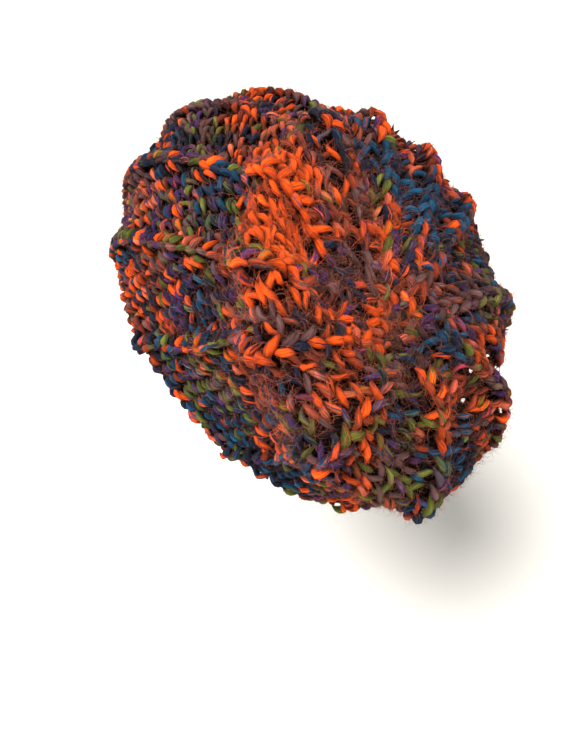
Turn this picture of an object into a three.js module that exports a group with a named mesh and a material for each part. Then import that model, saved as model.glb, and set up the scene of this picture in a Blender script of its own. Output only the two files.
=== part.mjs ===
// A slouchy tam knitted sideways in thick wool, in the form that it keeps on a head. A snug band, made of the brim
// and the upper band above it, has raised ridges that run up from the knitted edge. A loose body springs from the
// band's drawn-in top, hangs over it at the nape and is gathered at an off-centre crown.
// Millimetres, +Z up. The wearer faces -Y with the left ear at +X, and the origin is the middle of the head
// opening. The pieces are drawn upright and then leaned back together, as the hat sits on the head.

import * as THREE from 'three';

// Head opening
const headWidth = 151; // inside the brim, ear to ear
const headLength = 194; // inside the brim, forehead to nape
const brimLift = 10; // how far the brim rises over the ears
const brimSlant = 8; // how much higher the brim is at the nape, and lower at the forehead, than midway

// Band
const bandDepth = 86; // brim to drawn-in top, over the ears
const bandSlant = 24; // how much deeper the band is at the forehead, and shallower at the nape
const gatherWidth = 138; // across the outside of the drawn-in top
const gatherLength = 149; // along the outside of the drawn-in top
const brimShare = 0.46; // how much of the way up the brim takes; the rest is the upper band

// Loose body
const bodyWidth = 154; // across the body at its widest
const bodyLength = 176; // along the body at its longest
const crownHeight = 120; // head opening to gathered crown
const overhang = 9.5; // how far the body's lowest fold stands out from the drawn-in top, on average
const overhangShift = 4; // how much further it stands out at the nape, and less at the forehead
const droop = 2.5; // how far that fold hangs below the drawn-in top at the nape, and stands above it in front
const hangTowards = THREE.MathUtils.degToRad(120); // the side where it hangs furthest, from left ear to nape
const neckShare = 0.4; // how far out to the lowest fold the under side's middle row lies
const neckRise = 2.4; // how far that row stands above the straight way out
const innerRise = 5; // how far the body's inside keeps the band's direction above the joint
const bodyTurn = THREE.MathUtils.degToRad(20); // how far the body's long way turns towards the left ear

// Knit
const knitWall = 7; // thickness of the fabric between its ridges
const ridgeHeight = 4; // how far a ridge stands out of the band
const ridgeSwell = 1.3; // how many times taller a ridge stands on the loose body
const ridgeHalfWidth = 11; // from a ridge's top to its foot
const edgeRound = 1.6; // how far the knitted edge is rounded in at the brim
const pieceGap = 0.4; // clearance between one piece and the next

const leanBack = THREE.MathUtils.degToRad(37.5); // how far the hat leans towards the nape

// The outside of the band from brim to top. depth is a share of the way up, width and length are shares of the
// brim's outside, and sideways and back move the section by shares of the same two sizes.
const bandSections = [
  { depth: 0, width: 1, length: 1, sideways: 0, back: 0, ridge: 0.7 },
  { depth: 0.25, width: 1.02, length: 1.07, sideways: -0.03, back: -0.02, ridge: 1 },
  { depth: 0.5, width: 1.02, length: 1.07, sideways: -0.035, back: -0.015, ridge: 1 },
  { depth: 0.75, width: 1, length: 0.97, sideways: -0.015, back: 0.03, ridge: 0.9 },
];
// The drawn-in top, which the body is joined to: shares of the gather's own width and length.
const gather = { sideways: 0.055, back: 0.13, ridge: 0.45 };

// The outside of the body above its lowest fold, up to the crown. width and length are shares of the body's own,
// sideways and back move the section by shares of them, rise is a share of the way from the band's top to the
// crown, and the section tips towards the nape and away from the left ear by the two angles.
const bodySections = [
  { width: 1, length: 1, sideways: 0.09, back: 0.15, rise: 0.36, tipBack: 17, tipLeft: -6, ridge: 0.9 },
  { width: 0.84, length: 0.77, sideways: 0.085, back: 0.155, rise: 0.68, tipBack: 13, tipLeft: -6, ridge: 0.9 },
  { width: 0.52, length: 0.49, sideways: 0.135, back: 0.168, rise: 0.92, tipBack: 8, tipLeft: -3, ridge: 0.6 },
  { width: 0.2, length: 0.18, sideways: 0.205, back: 0.178, rise: 1, tipBack: 4, tipLeft: 0, ridge: 0.3 },
  { width: 0, length: 0, sideways: 0.227, back: 0.183, rise: 0.96, tipBack: 0, tipLeft: 0, ridge: 0 },
];

// The ridges, each by its angle round the brim and round the gather, in degrees from the left ear towards the nape.
const ridges = [
  { name: 'left_rear', brim: 16, gather: 17 },
  { name: 'nape_left', brim: 58, gather: 62 },
  { name: 'nape_right', brim: 102, gather: 108 },
  { name: 'right_rear', brim: 146, gather: 150 },
  { name: 'right_middle', brim: 184, gather: 190 },
  { name: 'right_front', brim: 214, gather: 212 },
  { name: 'forehead_right', brim: 241, gather: 238 },
  { name: 'forehead_middle', brim: 262, gather: 262 },
  { name: 'forehead_left', brim: 283, gather: 292 },
  { name: 'left_front', brim: 304, gather: 320 },
  { name: 'left_middle', brim: 338, gather: 343 },
];
const ridgeBow = 11; // degrees that the ridges bow towards the nape, halfway up the band
const crownTwist = 10; // degrees that the ridges turn between the gather and the crown

// Deep folds in the loose body. around is in degrees, up is a share of the way from the gather to the crown,
// across and along are the half sizes in mm, turn is the fold's direction, in degrees from level, and depth in mm.
const folds = [
  { name: 'diagonal_upper', around: 300, up: 0.62, across: 9, along: 22, turn: 60, depth: 7 },
  { name: 'diagonal_lower', around: 345, up: 0.8, across: 9, along: 20, turn: 30, depth: 7 },
  { name: 'crown_pit', around: 120, up: 0.93, across: 10, along: 14, turn: 0, depth: 6 },
  { name: 'nape_fold', around: 80, up: 0.66, across: 13, along: 26, turn: 15, depth: 6 },
];

// Mesh fineness
const ridgeSteps = [0, 0.09, 0.2, 0.36, 0.5, 0.64, 0.8, 0.91]; // shares of the way from one ridge to the next
const brimRows = 4;
const bandRows = 4;
const bodyRows = 21;
const innerRows = 12;
const slopeStep = 1e-3; // share of a piece's rows or degrees, for working out slopes

const { degToRad, lerp, smoothstep } = THREE.MathUtils;
const fullTurn = 360;

// Places between rows
function smoothBetween(rows, key, share) {
  const at = share * (rows.length - 1);
  const low = Math.min(Math.floor(at), rows.length - 2);
  const value = (k) => rows[Math.min(Math.max(k, 0), rows.length - 1)][key];
  const [a, b, c, d] = [value(low - 1), value(low), value(low + 1), value(low + 2)];
  const t = at - low;
  return b + 0.5 * t * (c - a + t * (2 * a - 5 * b + 4 * c - d + t * (3 * (b - c) + d - a)));
}

function smoothThrough(points, share) {
  const rows = points.map((point) => ({ x: point.x, y: point.y, z: point.z }));
  return new THREE.Vector3(...['x', 'y', 'z'].map((key) => smoothBetween(rows, key, share)));
}

// Position k counts ridges and the shares between them; the result is an angle in degrees
function ridgeAngle(position, end) {
  const count = ridges.length;
  const turn = Math.floor(position / count);
  const within = position - turn * count;
  const low = Math.min(Math.floor(within), count - 1);
  const start = ridges[low][end];
  const next = low + 1 < count ? ridges[low + 1][end] : ridges[0][end] + fullTurn;
  return lerp(start, next, within - low) + turn * fullTurn;
}

function ovalPoint(width, length, angle) {
  return new THREE.Vector3((width / 2) * Math.cos(angle), (length / 2) * Math.sin(angle), 0);
}

// Smooth outside of the band, and of its drawn-in top when share is 1
const brimWidth = headWidth + 2 * knitWall;
const brimLength = headLength + 2 * knitWall;
const bandRowsOfSections = [
  ...bandSections,
  {
    depth: 1,
    width: gatherWidth / brimWidth,
    length: gatherLength / brimLength,
    sideways: (gather.sideways * gatherWidth) / brimWidth,
    back: (gather.back * gatherLength) / brimLength,
    ridge: gather.ridge,
  },
];

function bandBase(position, share) {
  const straight = lerp(ridgeAngle(position, 'brim'), ridgeAngle(position, 'gather'), share);
  const angle = degToRad(straight + ridgeBow * Math.sin(Math.PI * share));
  const section = (key) => smoothBetween(bandRowsOfSections, key, share);
  const point = ovalPoint(brimWidth * section('width'), brimLength * section('length'), angle);
  const brimZ = brimLift * Math.cos(2 * angle) + brimSlant * Math.sin(angle);
  const topZ = bandDepth - bandSlant * Math.sin(angle);
  point.x += brimWidth * section('sideways');
  point.y += brimLength * section('back');
  point.z = lerp(brimZ, topZ, section('depth'));
  return point;
}

// Outward direction of a surface given by position and share
function outward(base, position, share) {
  const high = Math.min(share + slopeStep, 1);
  const low = Math.max(share - slopeStep, 0);
  const around = base(position + slopeStep, share).sub(base(position - slopeStep, share));
  const along = base(position, high).sub(base(position, low));
  const normal = around.cross(along);
  return around.length() > slopeStep ** 2 ? normal.normalize() : new THREE.Vector3(0, 0, 1);
}

// A ridge's height at a position, from its distance to the nearest ridge along the surface
function ridgeProfile(base, position, share) {
  const nearest = Math.round(position);
  const distance = base(position, share).distanceTo(base(nearest, share));
  return distance < ridgeHalfWidth ? 0.5 + 0.5 * Math.cos((Math.PI * distance) / ridgeHalfWidth) : 0;
}

function bandOutside(position, share) {
  const height = ridgeHeight * smoothBetween(bandRowsOfSections, 'ridge', share);
  const normal = outward(bandBase, position, share);
  const rounding = share === 0 ? edgeRound : 0;
  return bandBase(position, share).addScaledVector(
    normal, height * ridgeProfile(bandBase, position, share) - rounding);
}

function bandInside(position, share) {
  const rounding = share === 0 ? edgeRound : 0;
  return bandBase(position, share).addScaledVector(outward(bandBase, position, share), rounding - knitWall);
}

// The body's lowest fold, which follows the band's drawn-in top and hangs towards the nape
function lowestFold(position) {
  const angle = degToRad(ridgeAngle(position, 'gather'));
  const towards = Math.cos(angle - hangTowards);
  const point = bandBase(position, 1);
  const out = outward(bandBase, position, 1).setZ(0).normalize();
  point.addScaledVector(out, overhang + overhangShift * towards);
  point.z -= droop * towards;
  return point;
}

// Smooth outside of the body: it springs from the band's top, falls outward to its lowest fold and closes
// over the crown
function bodySectionPoint(section, angle) {
  const point = ovalPoint(bodyWidth * section.width, bodyLength * section.length, angle + bodyTurn);
  point.applyAxisAngle(new THREE.Vector3(0, 0, 1), -bodyTurn);
  point.applyEuler(new THREE.Euler(-degToRad(section.tipBack), degToRad(section.tipLeft), 0, 'YXZ'));
  point.x += bodyWidth * section.sideways;
  point.y += bodyLength * section.back;
  point.z += lerp(bandDepth, crownHeight, section.rise);
  return point;
}

const bodySteps = bodySections.length + 2; // from the joint by the under side and the lowest fold to the crown

function neckEdge(position) {
  const edge = bandBase(position, 1);
  const rise = edge.clone().sub(bandBase(position, 1 - slopeStep)).normalize();
  return { rise, neck: edge.clone().addScaledVector(rise, pieceGap) };
}

function bodyBase(position, share) {
  const gatherAngle = ridgeAngle(position, 'gather');
  const { rise, neck } = neckEdge(position);
  const fold = lowestFold(position);
  const under = neck.clone().lerp(fold, neckShare).addScaledVector(rise, neckRise);
  const upper = bodySections.map((section, k) =>
    bodySectionPoint(section, degToRad(gatherAngle + (crownTwist * (k + 1)) / bodySections.length)));
  return smoothThrough([neck, under, fold, ...upper], share);
}

function bodyRidge(share) {
  const rows = [
    { ridge: gather.ridge / ridgeSwell },
    { ridge: 0.1 },
    { ridge: 0.6 },
    ...bodySections.map(({ ridge }) => ({ ridge })),
  ];
  return ridgeHeight * ridgeSwell * smoothBetween(rows, 'ridge', share);
}

// How far the folds press a point of the body inwards
const foldCentres = folds.map((fold) => {
  const position = positionOf(fold.around);
  const centre = bodyBase(position, fold.up);
  const level = bodyBase(position + slopeStep, fold.up).sub(centre).normalize();
  const normal = outward(bodyBase, position, fold.up);
  const upward = normal.clone().cross(level);
  const turn = degToRad(fold.turn);
  const run = level.clone().multiplyScalar(Math.cos(turn)).addScaledVector(upward, Math.sin(turn));
  return { ...fold, centre, run, side: normal.cross(run).normalize() };
});

function positionOf(around) {
  let position = 0;
  while (ridgeAngle(position + slopeStep, 'gather') < around) {
    position += slopeStep;
  }
  return position;
}

function foldDepth(point) {
  return foldCentres.reduce((sum, fold) => {
    const offset = point.clone().sub(fold.centre);
    const along = offset.dot(fold.run) / fold.along;
    const across = offset.dot(fold.side) / fold.across;
    return sum + fold.depth * Math.exp(-along * along - across * across);
  }, 0);
}

// The body's direction outwards turns from the band's at the joint to its own, so that both edges face
function bodyOutward(position, share) {
  const turned = smoothstep(share, 1 / bodySteps, 2 / bodySteps);
  const joint = outward(bandBase, position, 1);
  return joint.lerp(outward(bodyBase, position, share), turned).normalize();
}

function bodyOutside(position, share) {
  const base = bodyBase(position, share);
  const height = bodyRidge(share) * ridgeProfile(bodyBase, position, share);
  return base.clone().addScaledVector(bodyOutward(position, share), height - foldDepth(base));
}

// The inside runs straight from the joint into the bag: the wool fills the lowest fold, where it lies double
function bodyInside(position, share) {
  const within = (at) => {
    const base = bodyBase(position, at);
    return base.clone().addScaledVector(bodyOutward(position, at), -knitWall - foldDepth(base));
  };
  const start = within(0);
  const above = start.clone().addScaledVector(neckEdge(position).rise, innerRise);
  return smoothThrough([start, above, ...bodySections.map((_, k) => within((k + 3) / bodySteps))], share);
}

// Meshes from rings of points. Each ring has the same positions, and the rings run over the outside and back
// down the inside; a ring whose points all fall together is one point.
const positions = ridges.flatMap((ridge, k) => ridgeSteps.map((step) => k + step));

function ringsOf(surface, shares) {
  return shares.map((share) => positions.map((position) => surface(position, share)));
}

function evenShares(rows, low = 0, high = 1) {
  return Array.from({ length: rows + 1 }, (_, k) => lerp(low, high, k / rows));
}

function meshThroughRings(rings, closed) {
  const points = [];
  const starts = rings.map((ring) => {
    const start = points.length;
    const single = ring.every((point) => point.distanceTo(ring[0]) < slopeStep);
    points.push(...(single ? [ring[0]] : ring));
    return { start, single };
  });
  const count = positions.length;
  const faces = [];
  const pairs = closed ? rings.length : rings.length - 1;
  for (let k = 0; k < pairs; k += 1) {
    const low = starts[k];
    const high = starts[(k + 1) % rings.length];
    for (let j = 0; j < count; j += 1) {
      const next = (j + 1) % count;
      if (!low.single) faces.push(low.start + j, low.start + next, high.start + (high.single ? 0 : next));
      if (!high.single) faces.push(low.start + (low.single ? 0 : j), high.start + next, high.start + j);
    }
  }
  const geometry = new THREE.BufferGeometry();
  geometry.setAttribute('position', new THREE.Float32BufferAttribute(points.flatMap((p) => p.toArray()), 3));
  geometry.setIndex(faces);
  geometry.computeVertexNormals();
  return geometry;
}

// The brim and the upper band are one height of the same wall each
function makeWall(name, low, high, rows, material) {
  const outside = ringsOf(bandOutside, evenShares(rows, low, high));
  const inside = ringsOf(bandInside, evenShares(rows / 2, low, high).reverse());
  const wall = new THREE.Mesh(meshThroughRings([...outside, ...inside], true), material);
  wall.name = name;
  return wall;
}

function makeBody(material) {
  const outside = ringsOf(bodyOutside, evenShares(bodyRows));
  const inside = ringsOf(bodyInside, evenShares(innerRows).reverse());
  const body = new THREE.Mesh(meshThroughRings([...outside, ...inside], true), material);
  body.name = 'slouch_body';
  return body;
}

// Materials
const bandWool = new THREE.MeshStandardMaterial({ color: 0x4a3550, roughness: 0.95, metalness: 0 });
const bodyWool = new THREE.MeshStandardMaterial({ color: 0x9c3f22, roughness: 0.95, metalness: 0 });

const leaned = new THREE.Group();
leaned.rotation.x = -leanBack;
const bandFoot = brimShare + pieceGap / bandDepth;
leaned.add(makeWall('brim', 0, brimShare, brimRows, bandWool));
leaned.add(makeWall('upper_band', bandFoot, 1, bandRows, bandWool));
leaned.add(makeBody(bodyWool));

const tam = new THREE.Group();
tam.name = 'rasta_tam';
tam.add(leaned);

export default tam;
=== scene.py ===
"""A slouchy hat, hand-knitted sideways in thick variegated wool.

A snug band with raised ridges carries a loose body, which folds over the band's drawn-in top and is gathered
at an off-centre crown. Each stitch leg is a grain of yarn laid on the band or the body, in columns that run
A lining of the same wool shows between the grains, near black there as painted shade, and loose fibres stand
off them.
Sizes are in millimetres in the hat's own upright frame until a mesh is made.
"""
import math

import bpy
import numpy as np
from mathutils import Matrix, Vector


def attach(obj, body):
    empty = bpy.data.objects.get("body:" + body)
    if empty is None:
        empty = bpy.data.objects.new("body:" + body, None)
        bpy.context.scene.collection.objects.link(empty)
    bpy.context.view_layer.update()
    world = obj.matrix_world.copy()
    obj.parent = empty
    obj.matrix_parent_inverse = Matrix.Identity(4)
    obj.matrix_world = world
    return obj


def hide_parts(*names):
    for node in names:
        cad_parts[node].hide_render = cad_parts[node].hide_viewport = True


MM = 0.001
# All draws come from this one source, in the order of the pieces
random = np.random.default_rng(11)

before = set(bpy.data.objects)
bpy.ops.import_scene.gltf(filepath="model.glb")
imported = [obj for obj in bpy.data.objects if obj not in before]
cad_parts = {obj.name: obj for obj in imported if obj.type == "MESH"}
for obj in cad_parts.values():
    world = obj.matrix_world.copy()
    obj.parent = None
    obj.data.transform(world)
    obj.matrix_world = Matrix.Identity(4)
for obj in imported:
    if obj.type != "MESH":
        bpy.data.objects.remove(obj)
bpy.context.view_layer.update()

# The hat's form, with the same sizes as the solids
head_width, head_length = 151.0, 194.0
brim_lift, brim_slant = 10.0, 8.0
band_depth, band_slant = 86.0, 24.0
gather_width, gather_length = 138.0, 149.0
body_width, body_length, crown_height = 154.0, 176.0, 120.0
overhang, overhang_shift, droop = 9.5, 4.0, 2.5
hang_towards = math.radians(120)
body_turn = math.radians(20)
knit_wall = 7.0
ridge_height, ridge_swell, ridge_half_width = 4.0, 1.3, 11.0
piece_gap = 0.4
lean_back = math.radians(37.5)
ridge_bow, crown_twist = 11.0, 10.0
neck_share, neck_rise, inner_rise = 0.4, 2.4, 5.0
gather_sideways, gather_back, gather_ridge = 0.055, 0.13, 0.45
slope_step = 1e-3
# How far the lining lies inside the solid's outside, so that the grains' tops are level with it
yarn_depth = 2.0

# The band from its brim up: depth, width, length, sideways, back, ridge
BAND_SECTIONS = [
    (0, 1, 1, 0, 0, 0.7),
    (0.25, 1.02, 1.07, -0.03, -0.02, 1),
    (0.5, 1.02, 1.07, -0.035, -0.015, 1),
    (0.75, 1, 0.97, -0.015, 0.03, 0.9),
]
# The body from its fold to its crown: width, length, sideways, back, rise, tip back, tip left, ridge
BODY_SECTIONS = [
    (1, 1, 0.09, 0.15, 0.36, 17, -6, 0.9),
    (0.84, 0.77, 0.085, 0.155, 0.68, 13, -6, 0.9),
    (0.52, 0.49, 0.135, 0.168, 0.92, 8, -3, 0.6),
    (0.2, 0.18, 0.205, 0.178, 1, 4, 0, 0.3),
    (0, 0, 0.227, 0.183, 0.96, 0, 0, 0),
]
# Each ridge's angle round the brim and round the gather, in degrees from the hat's left towards its back
RIDGES = np.array([
    (16, 17), (58, 62), (102, 108), (146, 150), (184, 190), (214, 212),
    (241, 238), (262, 262), (283, 292), (304, 320), (338, 343),
], float)
# Soft dents in the body: degrees around, share up, half width, half length, turn, depth
FOLDS = [
    (300, 0.62, 9, 22, 60, 7),
    (345, 0.8, 9, 20, 30, 7),
    (120, 0.93, 10, 14, 0, 6),
    (80, 0.66, 13, 26, 15, 6),
]
# Creases of the knit itself: from one place to another, half width and depth, which is below zero for a roll
CREASES = [
    ("roll_edge", (57, -34, 122), (65, -7, 127), 4.5, 3),
    ("roll_edge_low", (65, -7, 127), (49, 15, 121), 4.5, 5.5),
    ("grey_hollow", (47, -10, 126), (36, 10, 123), 12, 3),
    ("crown_pit", (33, 29, 116), (40, 34, 115), 5, 6),
    ("rear_pit", (24, 59, 116), (26, 57, 116), 4.5, 4),
    ("lower_pit", (44, 59, 115), (46, 57, 115), 5, 5),
    ("orange_roll", (76, -23, 117), (71, -14, 126), 5, -2),
    ("orange_roll_low", (71, -14, 126), (62, 14, 119), 5, -2.5),
    ("right_roll", (26, 50, 118), (-3, 55, 113), 5, -2),
]
# Stitches so loose that light comes through, by place and radius, and the spot that their openings face
LOOSE_STITCHES = [
    ((9, 69, 111), 1.4),
    ((-17, 79, 96), 1.6),
    ((-6, 83, 102), 1.6),
    ((15, 78, 101), 1.4),
    ((39, 65, 116), 1.3),
    ((-8, 70, 106), 1.2),
]
FACING = np.array([276.9, 20.1, 413.3])
RIDGE_COUNT = len(RIDGES)
BODY_STEPS = len(BODY_SECTIONS) + 2


def smooth_rows(rows, share):
    """Values between rows, each row an array that broadcasts with share."""
    rows = [np.asarray(row, float) for row in rows]
    at = np.asarray(share, float) * (len(rows) - 1)
    low = np.minimum(np.floor(at), len(rows) - 2).astype(int)
    t = at - low
    total = 0
    for k in range(len(rows) - 1):
        a, b = rows[max(k - 1, 0)], rows[k]
        c, d = rows[k + 1], rows[min(k + 2, len(rows) - 1)]
        pick = low == k
        if b.ndim == 2:
            s, pick = t[:, None], pick[:, None]
        else:
            s = t
        value = b + 0.5 * s * (c - a + s * (2 * a - 5 * b + 4 * c - d + s * (3 * (b - c) + d - a)))
        total = total + np.where(pick, value, 0)
    return total


def ridge_angle(position, end):
    turn = np.floor(position / RIDGE_COUNT)
    within = position - turn * RIDGE_COUNT
    low = np.minimum(np.floor(within).astype(int), RIDGE_COUNT - 1)
    starts = np.append(RIDGES[:, end], RIDGES[0, end] + 360)
    return starts[low] + (starts[low + 1] - starts[low]) * (within - low) + turn * 360


def spread(share, position):
    return np.broadcast_to(share, position.shape).astype(float)


def blend(a, b, share):
    return a + (b - a) * share


def unit(v):
    return v / np.maximum(np.linalg.norm(v, axis=-1, keepdims=True), 1e-12)


brim_width = head_width + 2 * knit_wall
brim_length = head_length + 2 * knit_wall
BAND_ROWS = BAND_SECTIONS + [(
    1, gather_width / brim_width, gather_length / brim_length,
    gather_sideways * gather_width / brim_width, gather_back * gather_length / brim_length, gather_ridge,
)]


def band_base(position, share):
    share = spread(share, position)
    straight = blend(ridge_angle(position, 0), ridge_angle(position, 1), share)
    angle = np.radians(straight + ridge_bow * np.sin(np.pi * share))
    sizes = [smooth_rows([row[k] for row in BAND_ROWS], share) for k in range(5)]
    depth, width, length, sideways, back = sizes
    x = brim_width * (width / 2 * np.cos(angle) + sideways)
    y = brim_length * (length / 2 * np.sin(angle) + back)
    brim_z = brim_lift * np.cos(2 * angle) + brim_slant * np.sin(angle)
    top_z = band_depth - band_slant * np.sin(angle)
    return np.stack([x, y, blend(brim_z, top_z, depth)], -1)


def outward(base, position, share):
    high, low = np.minimum(share + slope_step, 1), np.maximum(share - slope_step, 0)
    around = base(position + slope_step, share) - base(position - slope_step, share)
    along = base(position, high) - base(position, low)
    normal = np.cross(around, along)
    at_pole = np.linalg.norm(around, axis=-1, keepdims=True) < slope_step ** 2
    return np.where(at_pole, np.array([0.0, 0.0, 1.0]), unit(normal))


def ridge_profile(base, position, share):
    distance = np.linalg.norm(base(position, share) - base(np.round(position), share), axis=-1)
    return np.where(distance < ridge_half_width, 0.5 + 0.5 * np.cos(np.pi * distance / ridge_half_width), 0)


def band_surface(position, share, lift=0.0):
    """The band's outside, with its ridges, moved out by lift."""
    share = spread(share, position)
    height = ridge_height * smooth_rows([r[5] for r in BAND_ROWS], share)
    height = height * ridge_profile(band_base, position, share) - yarn_depth
    return band_base(position, share) + outward(band_base, position, share) * (height + lift)[..., None]


def band_inner(position, share):
    """The band's inside."""
    share = spread(share, position)
    return band_base(position, share) - outward(band_base, position, share) * knit_wall


def neck_edge(position):
    edge = band_base(position, np.ones_like(position))
    rise = unit(edge - band_base(position, np.full_like(position, 1 - slope_step)))
    return rise, edge + rise * piece_gap


def body_section(section, angle):
    width, length, sideways, back, rise, tip_back, tip_left, _ = section
    a = angle + body_turn
    p = np.stack([body_width * width / 2 * np.cos(a), body_length * length / 2 * np.sin(a), 0 * a], -1)
    turned = Matrix.Rotation(-body_turn, 3, "Z")
    leftwards = Matrix.Rotation(math.radians(tip_left), 3, "Y")
    backwards = Matrix.Rotation(-math.radians(tip_back), 3, "X")
    p = p @ np.array(leftwards @ backwards @ turned).T
    return p + (body_width * sideways, body_length * back, blend(band_depth, crown_height, rise))


def body_base(position, share):
    share = spread(share, position)
    angle = ridge_angle(position, 1)
    rise, neck = neck_edge(position)
    one = np.ones_like(position)
    towards = np.cos(np.radians(angle) - hang_towards)
    out = outward(band_base, position, one)
    out[..., 2] = 0
    fold = band_base(position, one) + unit(out) * (overhang + overhang_shift * towards)[..., None]
    fold[..., 2] -= droop * towards
    under = blend(neck, fold, neck_share) + rise * neck_rise
    turn = [crown_twist * (k + 1) / len(BODY_SECTIONS) for k in range(len(BODY_SECTIONS))]
    upper = [body_section(s, np.radians(angle + t)) for s, t in zip(BODY_SECTIONS, turn)]
    return smooth_rows([neck, under, fold, *upper], share)


def body_ridge(share):
    rows = [gather_ridge / ridge_swell, 0.1, 0.6, *(s[7] for s in BODY_SECTIONS)]
    return ridge_height * ridge_swell * smooth_rows(rows, share)


def position_of(around):
    places = np.arange(0, RIDGE_COUNT, slope_step)
    return places[ridge_angle(places, 1) < around][-1] + slope_step


def fold_frames():
    made = []
    for around, up, across, along, turn, depth in FOLDS:
        position, share = np.array([position_of(around)]), np.array([up])
        centre = body_base(position, share)[0]
        level = unit(body_base(position + slope_step, share)[0] - centre)
        normal = outward(body_base, position, share)[0]
        upward = np.cross(normal, level)
        run = level * math.cos(math.radians(turn)) + upward * math.sin(math.radians(turn))
        made.append((centre, run, unit(np.cross(normal, run)), along, across, depth))
    return made


FOLD_FRAMES = fold_frames()


def fold_depth(points):
    total = np.zeros(points.shape[:-1])
    for centre, run, side, along, across, depth in FOLD_FRAMES:
        offset = points - centre
        a, c = offset @ run / along, offset @ side / across
        total = total + depth * np.exp(-a * a - c * c)
    return total


def crease_depth(points):
    total = np.zeros(points.shape[:-1])
    for _, start, end, width, depth in CREASES:
        start, run = np.array(start, float), np.subtract(end, start)
        along = np.clip((points - start) @ run / (run @ run), 0, 1)
        distance = np.linalg.norm(points - start - along[..., None] * run, axis=-1)
        total = total + depth * np.exp(-(distance / width) ** 2)
    return total


def smoothstep(x, low, high):
    t = np.clip((x - low) / (high - low), 0, 1)
    return t * t * (3 - 2 * t)


def body_outward(position, share):
    turned = smoothstep(share, 1 / BODY_STEPS, 2 / BODY_STEPS)[..., None]
    joint = outward(band_base, position, np.ones_like(position))
    return unit(blend(joint, outward(body_base, position, share), turned))


def body_surface(position, share, lift=0.0):
    """The body's outside, with its ridges and folds, moved out by lift."""
    share = spread(share, position)
    base = body_base(position, share)
    height = body_ridge(share) * ridge_profile(body_base, position, share) - yarn_depth
    height = height - fold_depth(base) - crease_depth(base)
    return base + body_outward(position, share) * (height + lift)[..., None]


def body_inner(position, share):
    """The body's inside, which runs straight from the joint into the bag."""
    share = spread(share, position)

    def within(at):
        at = np.full_like(position, at)
        base = body_base(position, at)
        return base - body_outward(position, at) * (knit_wall + fold_depth(base))[..., None]

    start = within(0)
    above = start + neck_edge(position)[0] * inner_rise
    upper = [within((k + 3) / BODY_STEPS) for k in range(len(BODY_SECTIONS))]
    return smooth_rows([start, above, *upper], share)


def to_world(points):
    """Leans the upright hat back, and turns millimetres into metres."""
    lean = np.array(Matrix.Rotation(-lean_back, 3, "X"))
    return points @ lean.T * MM


# Wool colours, each as the light that the yarn sends back
WOOL = {
    "orange": (1.0, 0.1, 0.006),
    "salmon": (0.72, 0.13, 0.06),
    "rust": (0.28, 0.036, 0.011),
    "teal": (0.003, 0.07, 0.15),
    "navy": (0.007, 0.014, 0.036),
    "purple": (0.062, 0.022, 0.105),
    "olive": (0.13, 0.15, 0.024),
    "green": (0.022, 0.048, 0.022),
    "pink": (0.45, 0.038, 0.08),
    "taupe": (0.14, 0.066, 0.066),
    "brown": (0.042, 0.015, 0.011),
}
BRIM_MIX = "navy 6, teal 5, olive 2, purple 1, orange 1"
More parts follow.
